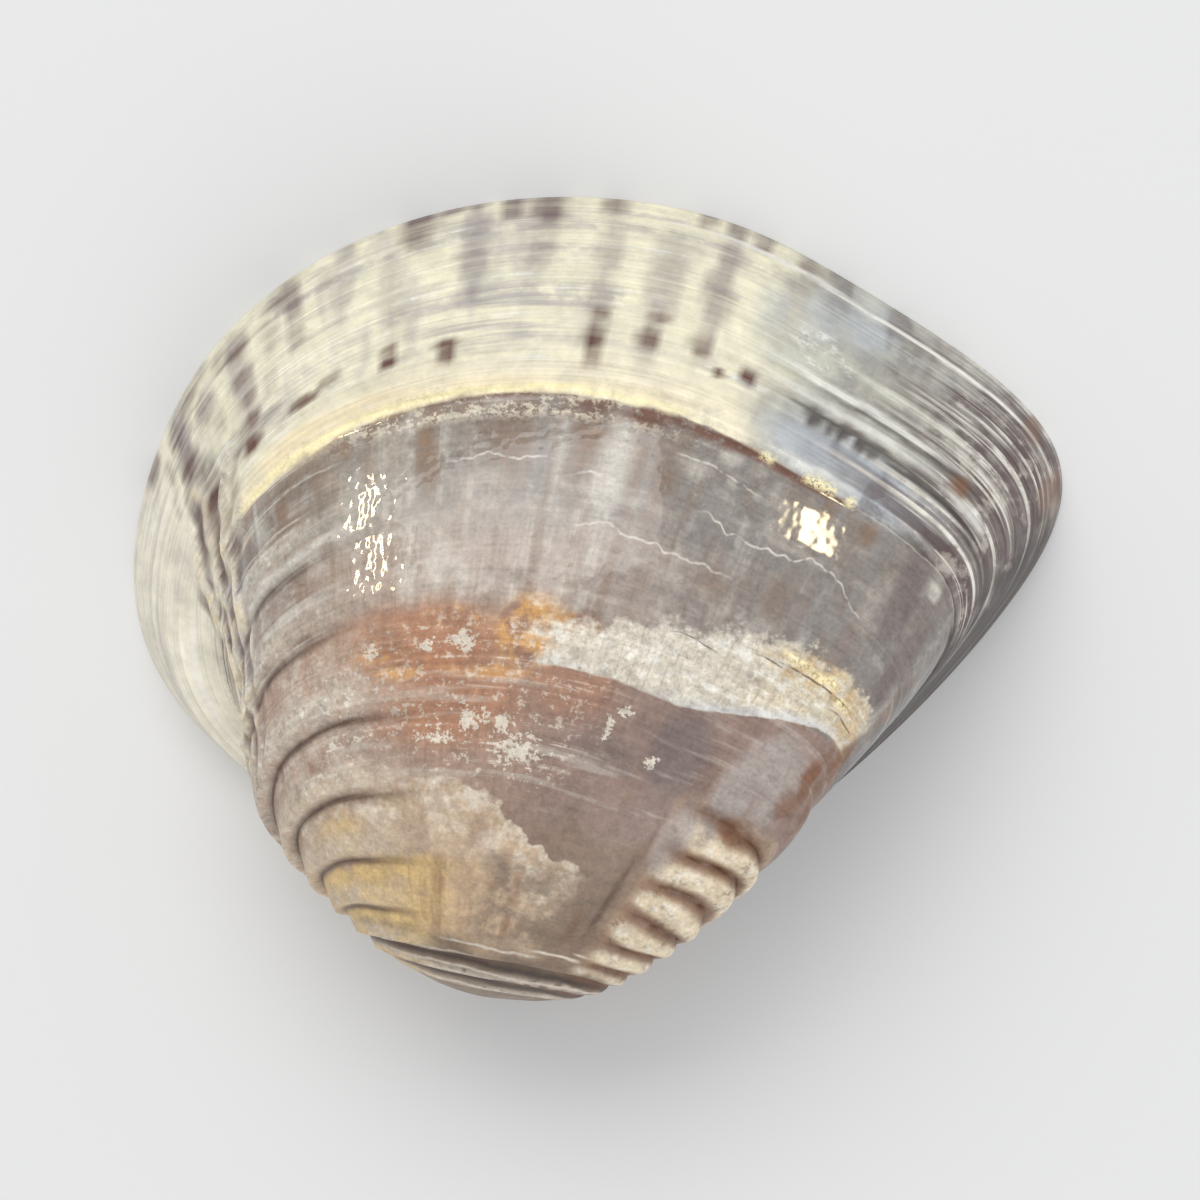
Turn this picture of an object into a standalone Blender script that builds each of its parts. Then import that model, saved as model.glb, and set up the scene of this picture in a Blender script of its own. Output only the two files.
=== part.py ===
"""One valve of a venus clam, lying on its rim with the outside up.

+X is the hind end, +Y the free margin away from the hinge, and +Z up.  The rim lies on Z = 0.
Each growth line of the shell is its rim again, made smaller and turned up about the beak, so
both skins of the valve are rims that are extruded stage by stage.
"""

import math

import bmesh
import bpy
from mathutils import Matrix, Vector

MM = 0.001

# The rim seen from above, as control points of a closed smooth curve: x, y and how far in the
# inner edge of the flat rim lies (mm). They run from the front of the hinge round the front
# end, the free margin and the hind end. The rim is widest at the hinge, where it is the plate.
RIM_POINTS = (
    (-7.6, -17.8, 5.4),
    (-12.8, -10.7, 2.6),
    (-19.7, -6.2, 1.9),
    (-23.3, 0.5, 1.7),
    (-19.8, 12.2, 1.6),
    (-11.1, 18.0, 1.6),
    (-2.1, 19.7, 1.6),
    (6.5, 18.4, 1.6),
    (12.4, 14.9, 1.6),
    (24.2, 7.5, 2.4),
    (19.8, -0.2, 1.8),
    (13.4, -7.0, 2.2),
    (5.9, -13.0, 3.2),
    (-0.6, -18.6, 5.6),
)
GUIDE_STEPS = 24
RAYS = 84
HIND_CROWDING = 1.6
HIND_CROWD_BEARING = 40.0
HIND_CROWD_WIDTH = 14.0

# Growth. A line at stage s is the rim times s, turned about the beak by the turn rate times
# ln(1/s), and it is longer and taller for its size than the rim is.
BEAK = Vector((-5.7, -16.8, 2.0)) * MM
TURN_AXIS = Vector((math.cos(0.21), -math.sin(0.21), 0.0))
TURN_RATE = 1.25
TURN_SLOWING = 0.14
YOUNG_LENGTH = 0.5
YOUNG_HEIGHT = 0.35
TIP_STAGES = (0.105, 0.085, 0.067, 0.050, 0.036, 0.024)
WIDEST_STEP = 0.045
NARROWEST_STEP = 0.009
FLATTENING = 0.9
LINE_TILT = 0.06

# Ridges: the stage of the groove at each one's foot, its height in front and behind (mm).
RIDGES = (
    (0.130, 0.14, 0.14),
    (0.156, 0.28, 0.28),
    (0.185, 0.38, 0.36),
    (0.201, 0.00, 0.42),
    (0.231, 0.44, 0.46),
    (0.264, 0.00, 0.52),
    (0.285, 0.54, 0.00),
    (0.298, 0.00, 0.56),
    (0.331, 0.00, 0.58),
    (0.347, 0.60, 0.00),
    (0.371, 0.00, 0.46),
    (0.415, 0.58, 0.00),
    (0.441, 0.00, 0.14),
    (0.496, 0.42, 0.00),
    (0.565, 0.32, 0.00),
    (0.690, 0.16, 0.20),
    (0.755, 0.06, 0.14),
)
CREST_PLACE = 0.22
SHOULDER_PLACE = 0.60
FRONT_FALL = 1.2
HIND_ROUNDNESS = 0.6

# Bearings from the beak in degrees: 0 is straight behind and 90 straight to the free margin.
# Each group of ridges comes in between its first two bearings and dies out between the others,
# and where the shell turns round its axis, beside the beak, there is no room for them.
FRONT_RIDGES = (92.0, 128.0, 138.0, 158.0)
HIND_RIDGES = (6.0, 20.0, 42.0, 52.0)
AXIS_CLEAR = (1.0 * MM, 4.5 * MM)

# Across the middle of the disc they are all but gone, except round the umbo.
MIDDLE_SHARE = 0.07
UMBO_SHARE = 0.75
UMBO_STAGES = (0.235, 0.195)

# A shallow furrow runs from the umbo between the disc and the hind slope.
CREASE_BEARING = 54.0
CREASE_WIDTH = 3.5
CREASE_DEPTH = 0.22 * MM
CREASE_STAGES = (0.20, 0.27, 0.42, 0.52)

# The front end is drawn in above the last growth stop, so that the young rim stands out as a brim.
PINCH_DEPTH = 1.6 * MM
PINCH_BEARINGS = (112.0, 134.0, 140.0, 158.0)
PINCH_STAGES = (0.44, 0.62, 0.69, 0.82)

# The back of the hinge is lifted off the rim plane, so that it has material behind its teeth.
BACK_LIFT = 1.3 * MM
BACK_SIDE = Vector((0.0, -0.45, 0.9))
BACK_REACH = (2.5 * MM, 6.5 * MM)
BACK_STAGES = (0.20, 0.50, 0.86, 1.00)

# Inside: the hollow's wall grows about a pole of its own, above the inner edge of the plate.
HOLLOW_CENTRE = Vector((-0.5, 0.5, 0.0)) * MM
HOLLOW_POLE = Vector((-5.0, -12.7, 2.6)) * MM
HOLLOW_STAGES = (0.96, 0.90, 0.82, 0.72, 0.62, 0.52, 0.42, 0.33, 0.25, 0.17, 0.10)

# Sockets between the hinge teeth, each a groove that widens from the beak: its two ends seen
# from above and its half width there (mm). The last holds the ligament.
SOCKETS = (
    ((-6.6, -16.0), (-8.4, -13.3), 0.20, 0.65),
    ((-5.8, -16.3), (-6.0, -13.0), 0.20, 0.75),
    ((-5.0, -16.3), (-2.6, -13.2), 0.20, 0.80),
    ((-2.4, -16.5), (6.8, -11.1), 0.35, 0.45),
)
SOCKET_DROP = 0.08

COLOUR = (0.52, 0.45, 0.40, 1.0)
ROUGHNESS = 0.4


def clear_scene():
    for old in list(bpy.data.objects):
        bpy.data.objects.remove(old, do_unlink=True)


def new_collection(name):
    made = bpy.data.collections.new(name)
    bpy.context.scene.collection.children.link(made)
    return made


def ramp(low, high, value):
    """0 up to low, 1 from high, and smooth between. It runs the other way if low is above high."""
    part = min(max((value - low) / (high - low), 0.0), 1.0)
    return part * part * (3.0 - 2.0 * part)


def hump(places, value):
    """0 outside the first and last of four places and 1 between the middle two."""
    return ramp(places[0], places[1], value) * (1.0 - ramp(places[2], places[3], value))


def smooth_loop(controls):
    """Evenly stepped points of the closed smooth curve that these control points shape."""
    curve = bpy.data.curves.new("guide", "CURVE")
    curve.dimensions = "3D"
    spline = curve.splines.new("NURBS")
    spline.points.add(len(controls) - 1)
    for point, control in zip(spline.points, controls):
        point.co = (control.x, control.y, 0.0, 1.0)
    spline.order_u = 4
    spline.use_cyclic_u = True
    spline.resolution_u = GUIDE_STEPS
    curve.resolution_u = GUIDE_STEPS
    guide = bpy.data.objects.new("guide", curve)
    mesh = guide.to_mesh()
    points = [vertex.co.copy() for vertex in mesh.vertices]
    guide.to_mesh_clear()
    bpy.data.objects.remove(guide)
    bpy.data.curves.remove(curve)
    return points + points[:1]


def rim_loops():
    """The outer and the inner edge of the flat rim, with as many points each."""
    outer = [Vector((x, y, 0.0)) * MM for x, y, width in RIM_POINTS]
    inner = [
        point + (HOLLOW_CENTRE - point).normalized() * row[2] * MM
        for point, row in zip(outer, RIM_POINTS)
    ]
    return spread(smooth_loop(outer), smooth_loop(inner))


def spread(line, companion):
    """RAYS points of a closed line, closer together near the hind ridges' bearing, and the
    points of its companion that go with them."""
    walked = [0.0]
    for a, b in zip(line, line[1:]):
        off = (bearing_of((a + b) * 0.5) - HIND_CROWD_BEARING) / HIND_CROWD_WIDTH
        walked.append(walked[-1] + (b - a).length * (1.0 + HIND_CROWDING * math.exp(-off * off)))
    chosen = []
    place = 0
    for ray in range(RAYS):
        wanted = walked[-1] * ray / RAYS
        while walked[place + 1] < wanted:
            place += 1
        part = (wanted - walked[place]) / (walked[place + 1] - walked[place])
        chosen.append([side[place].lerp(side[place + 1], part) for side in (line, companion)])
    return [pair[0] for pair in chosen], [pair[1] for pair in chosen]


def bearing_of(point):
    """The bearing from the beak, from -90 round the front end to 270 degrees."""
    return (math.degrees(math.atan2(point.y - BEAK.y, point.x - BEAK.x)) + 90.0) % 360.0 - 90.0


def hind_share(bearing):
    """1 on the hind slope and 0 in front of the middle of the disc."""
    return ramp(110.0, 50.0, bearing)


def grown(point, stage, pole):
    """Where a point of the rim stood when the shell was at this stage."""
    age = -math.log(stage)
    turn = Matrix.Rotation(TURN_RATE * age * (1.0 - TURN_SLOWING * age), 3, TURN_AXIS)
    arm = point - pole
    arm.x *= 1.0 + YOUNG_LENGTH * (1.0 - stage)
    arm.y *= 1.0 + YOUNG_HEIGHT * (1.0 - stage)
    return pole + turn @ arm * stage


def line_stage(stage, bearing):
    """The stage of a growth line at a bearing: each line reaches a little further out behind."""
    return stage * (1.0 + LINE_TILT * (1.0 - stage) ** 2 * hind_share(bearing))


def ridge_feet(column):
    """The stage and height of each ridge that a column of RIDGES gives one, then the rim."""
    return [(row[0], row[column]) for row in RIDGES if row[column] > 0.0] + [(1.0, 0.0)]


def outer_stages():
    """Lines for each ridge's foot, crest and shoulder, and more where those are far apart."""
    feet = {foot for column in (1, 2) for foot, height in ridge_feet(column)}
    between = []
    for column in (1, 2):
        own = [foot for foot, height in ridge_feet(column)]
        for foot, following in zip(own, own[1:]):
            between += [foot + place * (following - foot) for place in (CREST_PLACE, SHOULDER_PLACE)]
    lines = sorted(feet)
    for line in sorted(between):
        if min(abs(line - other) for other in lines) > NARROWEST_STEP:
            lines.append(line)
    lines.sort(reverse=True)
    filled = [lines[0]]
    for line in lines[1:]:
        start = filled[-1]
        pieces = math.ceil((start - line) / WIDEST_STEP - 1e-6)
        filled += [start + (line - start) * i / pieces for i in range(1, pieces + 1)]
    return filled[1:] + list(TIP_STAGES)


def ridge_place(stage, column):
    """The height of the ridge at a stage, from one column of RIDGES, and how far the stage is
    from that ridge's foot to the next one's."""
    feet = ridge_feet(column)
    for (foot, height), (following, _) in zip(feet, feet[1:]):
        if foot <= stage + 1e-6 and stage < following:
            return height, max(stage - foot, 0.0) / (following - foot)
    return 0.0, 0.0


def front_ridges(stage):
    """In front the ridges are steep towards the beak and fall slowly to the next one's foot."""
    height, place = ridge_place(stage, 1)
    if place < CREST_PLACE:
        return height * ramp(0.0, CREST_PLACE, place)
    return height * ((1.0 - place) / (1.0 - CREST_PLACE)) ** FRONT_FALL


def hind_ridges(stage):
    """Behind they are rounded knobs with narrow grooves between them."""
    height, place = ridge_place(stage, 2)
    return height * math.sin(math.pi * place) ** HIND_ROUNDNESS


def pinch(bearing, stage):
    return PINCH_DEPTH * hump(PINCH_BEARINGS, bearing) * hump(PINCH_STAGES, stage)


def relief(rim_point, stage, point):
    """How far the outside stands out from the plain growth surface at a point of it."""
    bearing = bearing_of(rim_point)
    front = hump(FRONT_RIDGES, bearing)
    hind = hump(HIND_RIDGES, bearing)
    middle = MIDDLE_SHARE + (UMBO_SHARE - MIDDLE_SHARE) * ramp(*UMBO_STAGES, stage)
    middle *= hump((HIND_RIDGES[2], HIND_RIDGES[3], *FRONT_RIDGES[:2]), bearing)
    height = front_ridges(stage) * (front + middle) + hind_ridges(stage) * hind
    height *= MM * ramp(*AXIS_CLEAR, (point - BEAK).cross(TURN_AXIS).length)
    off_crease = (bearing - CREASE_BEARING) / CREASE_WIDTH
    crease = CREASE_DEPTH * math.exp(-off_crease * off_crease) * hump(CREASE_STAGES, stage)
    return height - crease - pinch(bearing, stage)


def back_lift(rim_point, stage):
    """How far the back of the hinge stands off the plain growth surface."""
    near_beak = ramp(BACK_REACH[1], BACK_REACH[0], (rim_point - BEAK).length)
    return BACK_LIFT * near_beak * stage * hump(BACK_STAGES, stage)


def extruded(bm, edges, place, stage, layers):
    """Extrudes a loop of edges and puts each new vertex where place(ray) says."""
    made = bmesh.ops.extrude_edge_only(bm, edges=edges)["geom"]
    for vertex in made:
        if isinstance(vertex, bmesh.types.BMVert):
            vertex.co = place(vertex[layers["ray"]])
            vertex[layers["stage"]] = stage
    return [edge for edge in made if isinstance(edge, bmesh.types.BMEdge)]


def close_tip(bm, edges, tip):
    last_ring = list({vertex for edge in edges for vertex in edge.verts})
    bmesh.ops.pointmerge(bm, verts=last_ring, merge_co=tip)


def outer_skin(bm, edges, rim, layers):
    """The outside, from the rim to the beak. It returns its vertices between the two."""
    before = set(bm.verts)
    for stage in outer_stages():

        def place(ray, at=stage):
            return grown(rim[ray], line_stage(at, bearing_of(rim[ray])), BEAK)

        edges = extruded(bm, edges, place, stage, layers)
    close_tip(bm, edges, BEAK)
    return [vertex for vertex in bm.verts if vertex not in before and vertex.co != BEAK]


def inner_skin(bm, edges, inner, layers):
    """The flat rim and the hollow. It returns the vertices of the hollow's wall."""
    edges = extruded(bm, edges, lambda ray: inner[ray], 1.0, layers)
    before = set(bm.verts)
    for stage in HOLLOW_STAGES:
        edges = extruded(
            bm, edges, lambda ray, at=stage: grown(inner[ray], at, HOLLOW_POLE), stage, layers
        )
    close_tip(bm, edges, HOLLOW_POLE)
    return [vertex for vertex in bm.verts if vertex not in before and vertex.co != HOLLOW_POLE]


def centre(bm):
    """Moves the valve in the rim plane until the middle of its box is over the origin."""
    across = [vertex.co.x for vertex in bm.verts]
    along = [vertex.co.y for vertex in bm.verts]
    move = Vector((min(across) + max(across), min(along) + max(along), 0.0)) * -0.5
    bmesh.ops.translate(bm, vec=move, verts=bm.verts[:])


def shell_mesh():
    rim, inner = rim_loops()
    bm = bmesh.new()
    layers = {
        "ray": bm.verts.layers.int.new("ray"),
        "stage": bm.verts.layers.float.new("stage"),
    }
    first = [bm.verts.new(point) for point in rim]
    for ray, vertex in enumerate(first):
        vertex[layers["ray"]] = ray
        vertex[layers["stage"]] = 1.0
    rim_edges = [bm.edges.new((first[i - 1], first[i])) for i in range(len(first))]
    outside = outer_skin(bm, rim_edges, rim, layers)
    inside = inner_skin(bm, rim_edges, inner, layers)

    bmesh.ops.recalc_face_normals(bm, faces=bm.faces[:])
    bm.normal_update()
    moves = []
    for vertex in outside:
        rim_point = rim[vertex[layers["ray"]]]
        height = relief(rim_point, vertex[layers["stage"]], vertex.co)
        lift = back_lift(rim_point, vertex[layers["stage"]])
        moves.append((vertex, vertex.normal * height + BACK_SIDE * lift))
    for vertex in inside:
        inward = pinch(bearing_of(rim[vertex[layers["ray"]]]), vertex[layers["stage"]])
        moves.append((vertex, vertex.normal * inward))
    for vertex, move in moves:
        vertex.co += move
    bmesh.ops.scale(bm, vec=(1.0, 1.0, FLATTENING), verts=bm.verts[:])
    centre(bm)
    mesh = bpy.data.meshes.new("valve")
    bm.to_mesh(mesh)
    bm.free()
    return mesh


def socket_cutter(name, start, end, start_width, end_width, cutters):
    """A four-sided cone lying just below the rim plane with an edge up, so that it cuts a V."""
    start = Vector((*start, -SOCKET_DROP)) * MM
    end = Vector((*end, -SOCKET_DROP)) * MM
    along = (end - start).to_track_quat("Z", "Y")
    placed = Matrix.Translation((start + end) * 0.5) @ along.to_matrix().to_4x4()
    bm = bmesh.new()
    bmesh.ops.create_cone(
        bm,
        cap_ends=True,
        segments=4,
        radius1=start_width * MM,
        radius2=end_width * MM,
        depth=(end - start).length,
        matrix=placed,
    )
    mesh = bpy.data.meshes.new(name)
    bm.to_mesh(mesh)
    bm.free()
    cutter = bpy.data.objects.new(name, mesh)
    cutter.hide_render = True
    cutter.display_type = "WIRE"
    cutters.objects.link(cutter)
    return cutter


def shell_material():
    material = bpy.data.materials.new("shell")
    material.use_nodes = True
    principled = material.node_tree.nodes["Principled BSDF"]
    principled.inputs["Base Color"].default_value = COLOUR
    principled.inputs["Roughness"].default_value = ROUGHNESS
    return material


def main():
    clear_scene()
    parts = new_collection("venus_clam_shell")
    mesh = shell_mesh()
    mesh.materials.append(shell_material())
    valve = bpy.data.objects.new("valve", mesh)
    parts.objects.link(valve)
    mesh.shade_smooth()
    cutters = new_collection("hinge_cutters")
    for number, socket in enumerate(SOCKETS, start=1):
        cut = valve.modifiers.new(f"socket_{number}", "BOOLEAN")
        cut.operation = "DIFFERENCE"
        cut.solver = "EXACT"
        cut.object = socket_cutter(f"socket_cutter_{number}", *socket, cutters)


main()
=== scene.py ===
import math

import bpy
import numpy as np
from mathutils import Matrix, Vector


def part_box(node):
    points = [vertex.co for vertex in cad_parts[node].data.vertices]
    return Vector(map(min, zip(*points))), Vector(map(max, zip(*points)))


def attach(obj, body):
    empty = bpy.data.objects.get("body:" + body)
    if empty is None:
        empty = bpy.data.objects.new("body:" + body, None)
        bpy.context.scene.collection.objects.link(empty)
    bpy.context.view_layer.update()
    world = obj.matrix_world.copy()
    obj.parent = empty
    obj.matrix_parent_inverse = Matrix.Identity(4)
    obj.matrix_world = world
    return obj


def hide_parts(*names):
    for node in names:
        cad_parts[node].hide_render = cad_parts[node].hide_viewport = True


# One valve of a venus clam, outside up, on a pale table.
# Places on the valve are given as a bearing from the beak in degrees (0 straight behind,
# 90 straight to the free margin, 180 in front) and a stage of growth (0 beak, 1 rim).

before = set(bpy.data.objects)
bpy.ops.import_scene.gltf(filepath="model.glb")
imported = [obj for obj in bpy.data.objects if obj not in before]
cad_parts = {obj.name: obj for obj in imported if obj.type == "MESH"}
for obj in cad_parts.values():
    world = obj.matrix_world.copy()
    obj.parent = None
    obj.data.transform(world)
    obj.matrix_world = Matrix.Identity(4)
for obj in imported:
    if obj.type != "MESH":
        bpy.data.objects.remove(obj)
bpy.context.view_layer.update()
mm = 0.001

shape = {
    "rays": 336,
    "outerRows": 112,
    "youngRows": 114,
    "middleStage": 0.5,
    "tipRows": 12,
    "firstStage": 0.02,
    "tipStage": 0.12,
    "rimRows": 7,
    "hollowRows": 34,
    "hollowEnd": 0.1,  # stage of the last growth line in the hollow
    # control points of the rim: x, y and the width of the flat rim, in mm
    "rim": [
        (-7.6, -17.8, 5.4), (-12.8, -10.7, 2.6), (-19.7, -6.2, 1.9), (-23.3, 0.5, 1.7),
        (-19.8, 12.2, 1.6), (-11.1, 18, 1.6), (-2.1, 19.7, 1.6), (6.5, 18.4, 1.6),
        (12.4, 14.9, 1.6), (24.2, 7.5, 2.4), (19.8, -0.2, 1.8), (13.4, -7, 2.2),
        (5.9, -13, 3.2), (-0.6, -18.6, 5.6),
    ],
    # how much closer the rays are behind, at which bearing, how wide
    "hindCrowding": (1.6, 40, 14),
    "beak": (-5.7, -16.8, 2),
    "hollowPole": (-5, -12.7, 2.6),
    "hollowCentre": (-0.5, 0.5, 0),
    "turnAxis": 0.21,  # radians off the x axis
    "turnRate": 1.25,
    "turnSlowing": 0.14,
    "youngStretch": (0.5, 0.35),
    "flattening": 0.9,
    # how much further out each growth line is behind, and between which bearings
    "hindReach": (0.06, (110, 50), (-90, -50)),
    # stage of the groove at the foot of each ridge, and its height in mm
    "frontRidges": [
        (0.13, 0.12), (0.158, 0.28), (0.187, 0.38), (0.231, 0.46), (0.285, 0.56),
        (0.347, 0.62), (0.415, 0.58), (0.496, 0.42), (0.572, 0.3), (0.69, 0.16), (0.755, 0.06),
    ],
    "hindRidges": [
        (0.13, 0.12), (0.158, 0.26), (0.187, 0.36), (0.208, 0.42), (0.239, 0.48), (0.272, 0.54),
        (0.306, 0.58), (0.344, 0.6), (0.38, 0.46), (0.449, 0.14), (0.69, 0.16), (0.755, 0.12),
    ],
    # size of a wave, then how it turns by bearing and by stage
    "lineWaves": [(0.0035, 9, 0), (0.0025, 23, 900)],
    "knobWave": (0.01, 14, 61),
    "frontRise": (0.02, 0.2),  # share of a ridge that is rising
    "frontFall": (0.8, 1.1),  # share that is falling, and how steeply
    "hindRoundness": 0.55,
    "frontBearings": (92, 128, 138, 158),
    "hindBearings": (6, 20, 45, 55),
    "foldedUpTo": 0.62,  # no darkened grooves (stain and painted shade) or pale rolls (wear and painted highlight) after this stage
    "grooveWidths": (0.0044, 0.0064),  # front and hind, in stages
    "stainAndShadeRidge": 0.2,  # mm, lower ridges get no darkened groove (stain and painted shade)
    "rollPlace": (0.3, 0.2),
    # where grooves are darkened and rolls paled: partly stain and wear, partly painted shade and
    # highlight
    "wearAndShadingShift": (9, 0.43, 0.49),  # degrees, and between which stages
    "frontWearAndShading": (88, 108, 140, 158),
    "hindWearAndShading": (4, 16, 49, 56),
    "middleShare": 0.06,
    "umboShare": (0.75, 0.235, 0.195),
    "tipRolls": (0.235, 0.2),
    "axisClear": (1, 4.5),
    "furrow": (54.5, 3, 0.24, 0.2, 0.27, 0.42, 0.52),  # bearing, width, depth, stages
    "pinch": (1.6, (112, 134, 140, 158), (0.44, 0.62, 0.69, 0.82)),
    # height, spacing in degrees, bearings and stages
    "pleats": (0.18, 4.1, (114, 119, 128, 133), (0.4, 0.48, 0.74, 0.86)),
    "pleatSlant": (22, 0.62),  # degrees a stage, and the stage that stays in place
    "pleatWaves": [(1.3, 43, 0), (0.8, 97, 1)],
    "pleatKnots": (0.65, 0.35, 71, 0.9),
    "pleatFolds": [(-1.8, 0.2), (1.6, 0.1)],  # how sharply valleys and crests start, and how late
    # share of each pleat valley darkened like a groove: partly stain, partly painted shade
    "pleatStainAndShade": 0.75,
    "backLift": (1.3, (2.5, 6.5), (0.2, 0.5, 0.86, 1)),
    "liftDirection": (0, -0.45, 0.9),
    # low steps along growth lines: stage, first and last bearing, height
    "haltSteps": [
        (0.692, 50, 118, 0.13), (0.578, 96, 124, 0.1), (0.755, 44, 64, -0.08), (0.803, 40, 66, -0.05),
    ],
    "haltEnds": (6, 4),  # degrees outside and inside the end of a step
    "haltEdge": (0.003, 0.03),  # stages the step rises over, and fades over
    # sockets of the hinge: both ends in mm, half width at each
    "sockets": [
        ((-6.6, -16), (-8.4, -13.3), 0.2, 0.65),
        ((-5.8, -16.3), (-6, -13), 0.2, 0.75),
        ((-5, -16.3), (-2.6, -13.2), 0.2, 0.8),
        ((-2.4, -16.5), (6.8, -11.1), 0.35, 0.45),
    ],
    "socketDrop": 0.08,
    "mergeDistance": 0.00001,
    "smoothAngle": 50,
}


def smoothStep(low, high, value):
    part = np.clip((value - low) / (high - low), 0, 1)
    return part * part * (3 - 2 * part)


def hump(places, value):
    return smoothStep(places[0], places[1], value) * (1 - smoothStep(places[2], places[3], value))


def smoothLoop(points, perPoint=80):
    # a closed curve pulled towards its control points
    t = np.arange(perPoint) / perPoint
    before, after = 3 * t ** 3 - 6 * t ** 2 + 4, -3 * t ** 3 + 3 * t ** 2 + 3 * t + 1
    pull = np.stack([(1 - t) ** 3, before, after, t ** 3], 1) / 6
    spans = [np.take(points, range(i, i + 4), axis=0, mode="wrap") for i in range(len(points))]
    return np.concatenate([pull @ span for span in spans])


def bearingOf(points):
    beak = shape["beak"]
    turned = np.degrees(np.arctan2(points[..., 1] - beak[1], points[..., 0] - beak[0]))
    return (turned + 90) % 360 - 90


def rimLoops():
    # the outer and inner edges of the flat rim, one point a ray, from behind the beak round the front
    rim = np.array(shape["rim"])
    outer = np.column_stack([rim[:, :2], np.zeros(len(rim))])
    inward = np.array(shape["hollowCentre"]) - outer
    inward /= np.linalg.norm(inward, axis=1)[:, None]
    inner = outer + inward * rim[:, 2:3]
    outer, inner = smoothLoop(outer), smoothLoop(inner)
    first = int(np.argmax(bearingOf(outer)))
    outer, inner = np.roll(outer, -first, axis=0), np.roll(inner, -first, axis=0)
    outer, inner = np.vstack([outer, outer[:1]]), np.vstack([inner, inner[:1]])
    crowding, at, width = shape["hindCrowding"]
    steps = np.linalg.norm(np.diff(outer, axis=0), axis=1)
    off = (bearingOf((outer[1:] + outer[:-1]) / 2) - at) / width
    walked = np.concatenate([[0], np.cumsum(steps * (1 + crowding * np.exp(-off * off)))])
    wanted = np.linspace(0, walked[-1], shape["rays"] + 1)
    return [np.stack([np.interp(wanted, walked, row) for row in loop.T], 1) for loop in (outer, inner)]


def turnAxis():
    return np.array([math.cos(shape["turnAxis"]), -math.sin(shape["turnAxis"]), 0])


def grown(loop, stages, pole):
    # where the points of a loop stood when the shell was at each stage
    pole = np.array(pole)
    age = -np.log(stages)
    turn = shape["turnRate"] * age * (1 - shape["turnSlowing"] * age)
    axis = turnAxis()
    arm = (loop - pole)[None, :, :] * np.ones((len(stages), 1, 1))
    arm[..., :2] *= 1 + np.array(shape["youngStretch"]) * (1 - stages)[..., None]
    turned = arm * np.cos(turn)[..., None] + np.cross(axis, arm) * np.sin(turn)[..., None]
    turned += axis * (arm @ axis)[..., None] * (1 - np.cos(turn))[..., None]
    return pole + turned * stages[..., None]


def ridgePlace(stages, ridges):
    # height of the ridge at each stage, and how far the stage is from its foot to the next one's
    feet = np.array([foot for foot, height in ridges] + [1])
    heights = np.array([height for foot, height in ridges])
    index = np.clip(np.searchsorted(feet, stages, side="right") - 1, -1, len(heights) - 1)
    place = (stages - feet[index]) / (feet[index + 1] - feet[index])
    inside = (index >= 0) & (stages < 1)
    return np.where(inside, heights[index], 0), np.where(inside, place, 0)


def fromFoot(stages, ridges, width):
    # 1 at the foot of a ridge, fading over this many stages
    feet = np.array([foot for foot, height in ridges if height > shape["stainAndShadeRidge"]])
    off = np.abs(stages[..., None] - feet).min(axis=2)
    return np.exp(-((off / width) ** 2))


def middleShare(bearings, stages):
    # how much of the front ridges runs across the middle of the valve
    share, umboFrom, umboTo = shape["umboShare"]
    middle = shape["middleShare"]
    middle = middle + (share - middle) * smoothStep(umboFrom, umboTo, stages)
    return middle * hump((*shape["hindBearings"][2:], *shape["frontBearings"][:2]), bearings)


def ridgeShapes(bearings, stages):
    # heights in mm over the plain surface, and how far each point is in a groove or on a roll
    bearings, stages = np.meshgrid(bearings, stages)
    wave = sum(
        size * np.sin(np.radians(bearings * byBearing + stages * byStage))
        for size, byBearing, byStage in shape["lineWaves"]
    )
    wobbled = stages * (1 + wave)
    frontHeight, frontPlace = ridgePlace(wobbled, shape["frontRidges"])
    fall, steepness = shape["frontFall"]
    rise = smoothStep(*shape["frontRise"], frontPlace)
    front = frontHeight * rise * ((1 - frontPlace) / fall).clip(0, 1) ** steepness
    size, byBearing, byStage = shape["knobWave"]
    knobbly = wobbled * (1 + size * np.sin(np.radians(bearings * byBearing) + stages * byStage))
    hindHeight, hindPlace = ridgePlace(knobbly, shape["hindRidges"])
    hind = hindHeight * np.sin(np.pi * hindPlace.clip(0, 1)) ** shape["hindRoundness"]
    middle = middleShare(bearings, stages)
    height = front * (hump(shape["frontBearings"], bearings) + middle)
    height = height + hind * hump(shape["hindBearings"], bearings)
    # darkened grooves, partly stain and partly painted shade, and pale rolls, partly wear and partly
    # painted highlight
    shift, *shiftStages = shape["wearAndShadingShift"]
    frontWearAndShading = hump(shape["frontWearAndShading"], bearings - shift * smoothStep(*shiftStages, stages))
    hindWearAndShading = hump(shape["hindWearAndShading"], bearings)
    frontWidth, hindWidth = shape["grooveWidths"]
    groove = fromFoot(wobbled, shape["frontRidges"], frontWidth) * (frontWearAndShading + middle)
    groove = groove + fromFoot(knobbly, shape["hindRidges"], hindWidth) * hindWearAndShading
    tipShare = middle * smoothStep(*shape["tipRolls"], stages)
    top, width = shape["rollPlace"]
    roll = np.exp(-((frontPlace - top) / width) ** 2) * (frontWearAndShading + tipShare)
    roll = roll + np.sin(np.pi * hindPlace) ** 2 * hindWearAndShading
    young = stages < shape["foldedUpTo"]
    outside, inside = shape["haltEnds"]
    risesOver, fadesOver = shape["haltEdge"]
    for at, first, last, rise in shape["haltSteps"]:
        over = wobbled - at
        window = hump((first - outside, first + inside, last - inside, last + outside), bearings)
        step = smoothStep(-risesOver, risesOver, over) * np.exp(-np.clip(over, 0, 1) / fadesOver)
        height = height + window * rise * step
    return height, (groove * young).clip(0, 1), (roll * young).clip(0, 1)


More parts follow.
